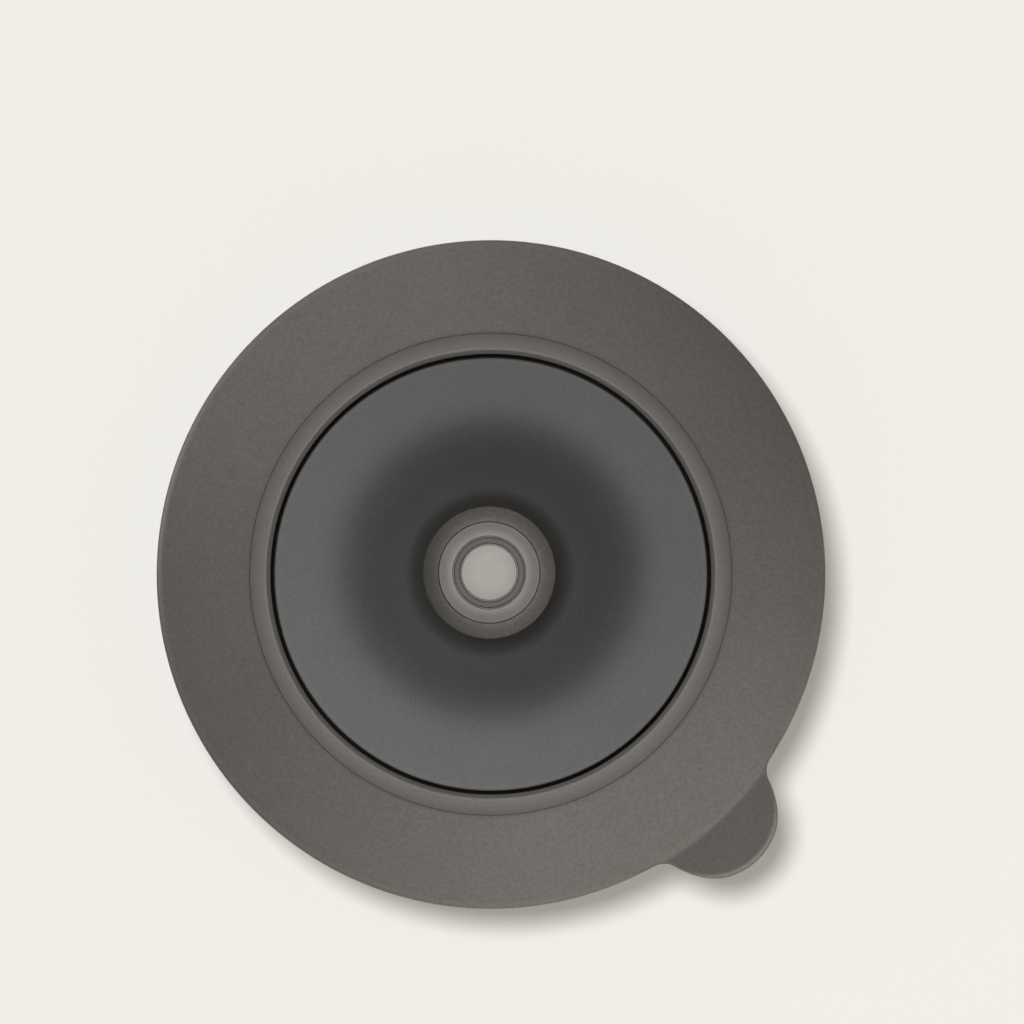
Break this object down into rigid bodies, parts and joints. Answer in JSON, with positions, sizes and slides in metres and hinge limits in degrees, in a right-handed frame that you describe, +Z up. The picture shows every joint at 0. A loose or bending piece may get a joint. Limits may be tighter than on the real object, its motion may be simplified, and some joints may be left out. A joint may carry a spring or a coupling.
{
  "type": "sink strainer stopper",
  "caption": "Perforated kitchen sink strainer with a soft sealing flange and a bell-shaped stopper that lifts and turns by a round knob.",
  "frame": {"origin": "middle of the basket's flat foot, on the axis of the stem", "axes": "+Z up along the stem towards the knob; the pull tab points between +X and -Y, 46.9 degrees below +X"},
  "size_m": [0.1142, 0.1143, 0.0577],
  "materials": {
    "flange_rubber": "fine matt soft-touch grey",
    "ring_plastic": "satin grey",
    "basket_plastic": "satin dark grey",
    "bush_plastic": "natural white bearing plastic",
    "seal_rubber": "smooth dark grey silicone",
    "shell_plastic": "satin grey",
    "stem_steel": "turned stainless steel",
    "grip_rubber": "matt soft-touch grey",
    "inlay_metal": "satin-polished grey metal face",
    "trim_metal": "darker satin metal ring"
  },
  "bodies": {
    "strainer": {"sealing_flange": "flange_rubber", "basket_ring": "ring_plastic", "strainer_basket": "basket_plastic"},
    "guide": {"guide_bush": "bush_plastic", "detent_ring": "seal_rubber"},
    "stopper": {"stopper_shell": "shell_plastic", "stopper_seal": "seal_rubber", "seal_retainer": "basket_plastic", "stem": "stem_steel", "stem_seal": "seal_rubber", "clamp_washer": "stem_steel", "clamp_nut": "stem_steel", "knob_core": "basket_plastic", "knob_grip": "grip_rubber", "knob_inlay": "inlay_metal", "knob_trim_ring": "trim_metal"}
  },
  "joints": [
    {"name": "stopper_spin", "type": "hinge", "parent": "strainer", "child": "guide", "pos_m": [0, 0, 0], "axis": [0, 0, 1], "continuous": true},
    {"name": "stopper_lift", "type": "slide", "parent": "guide", "child": "stopper", "axis": [0, 0, 1], "range_m": [0, 0.04]}
  ]
}
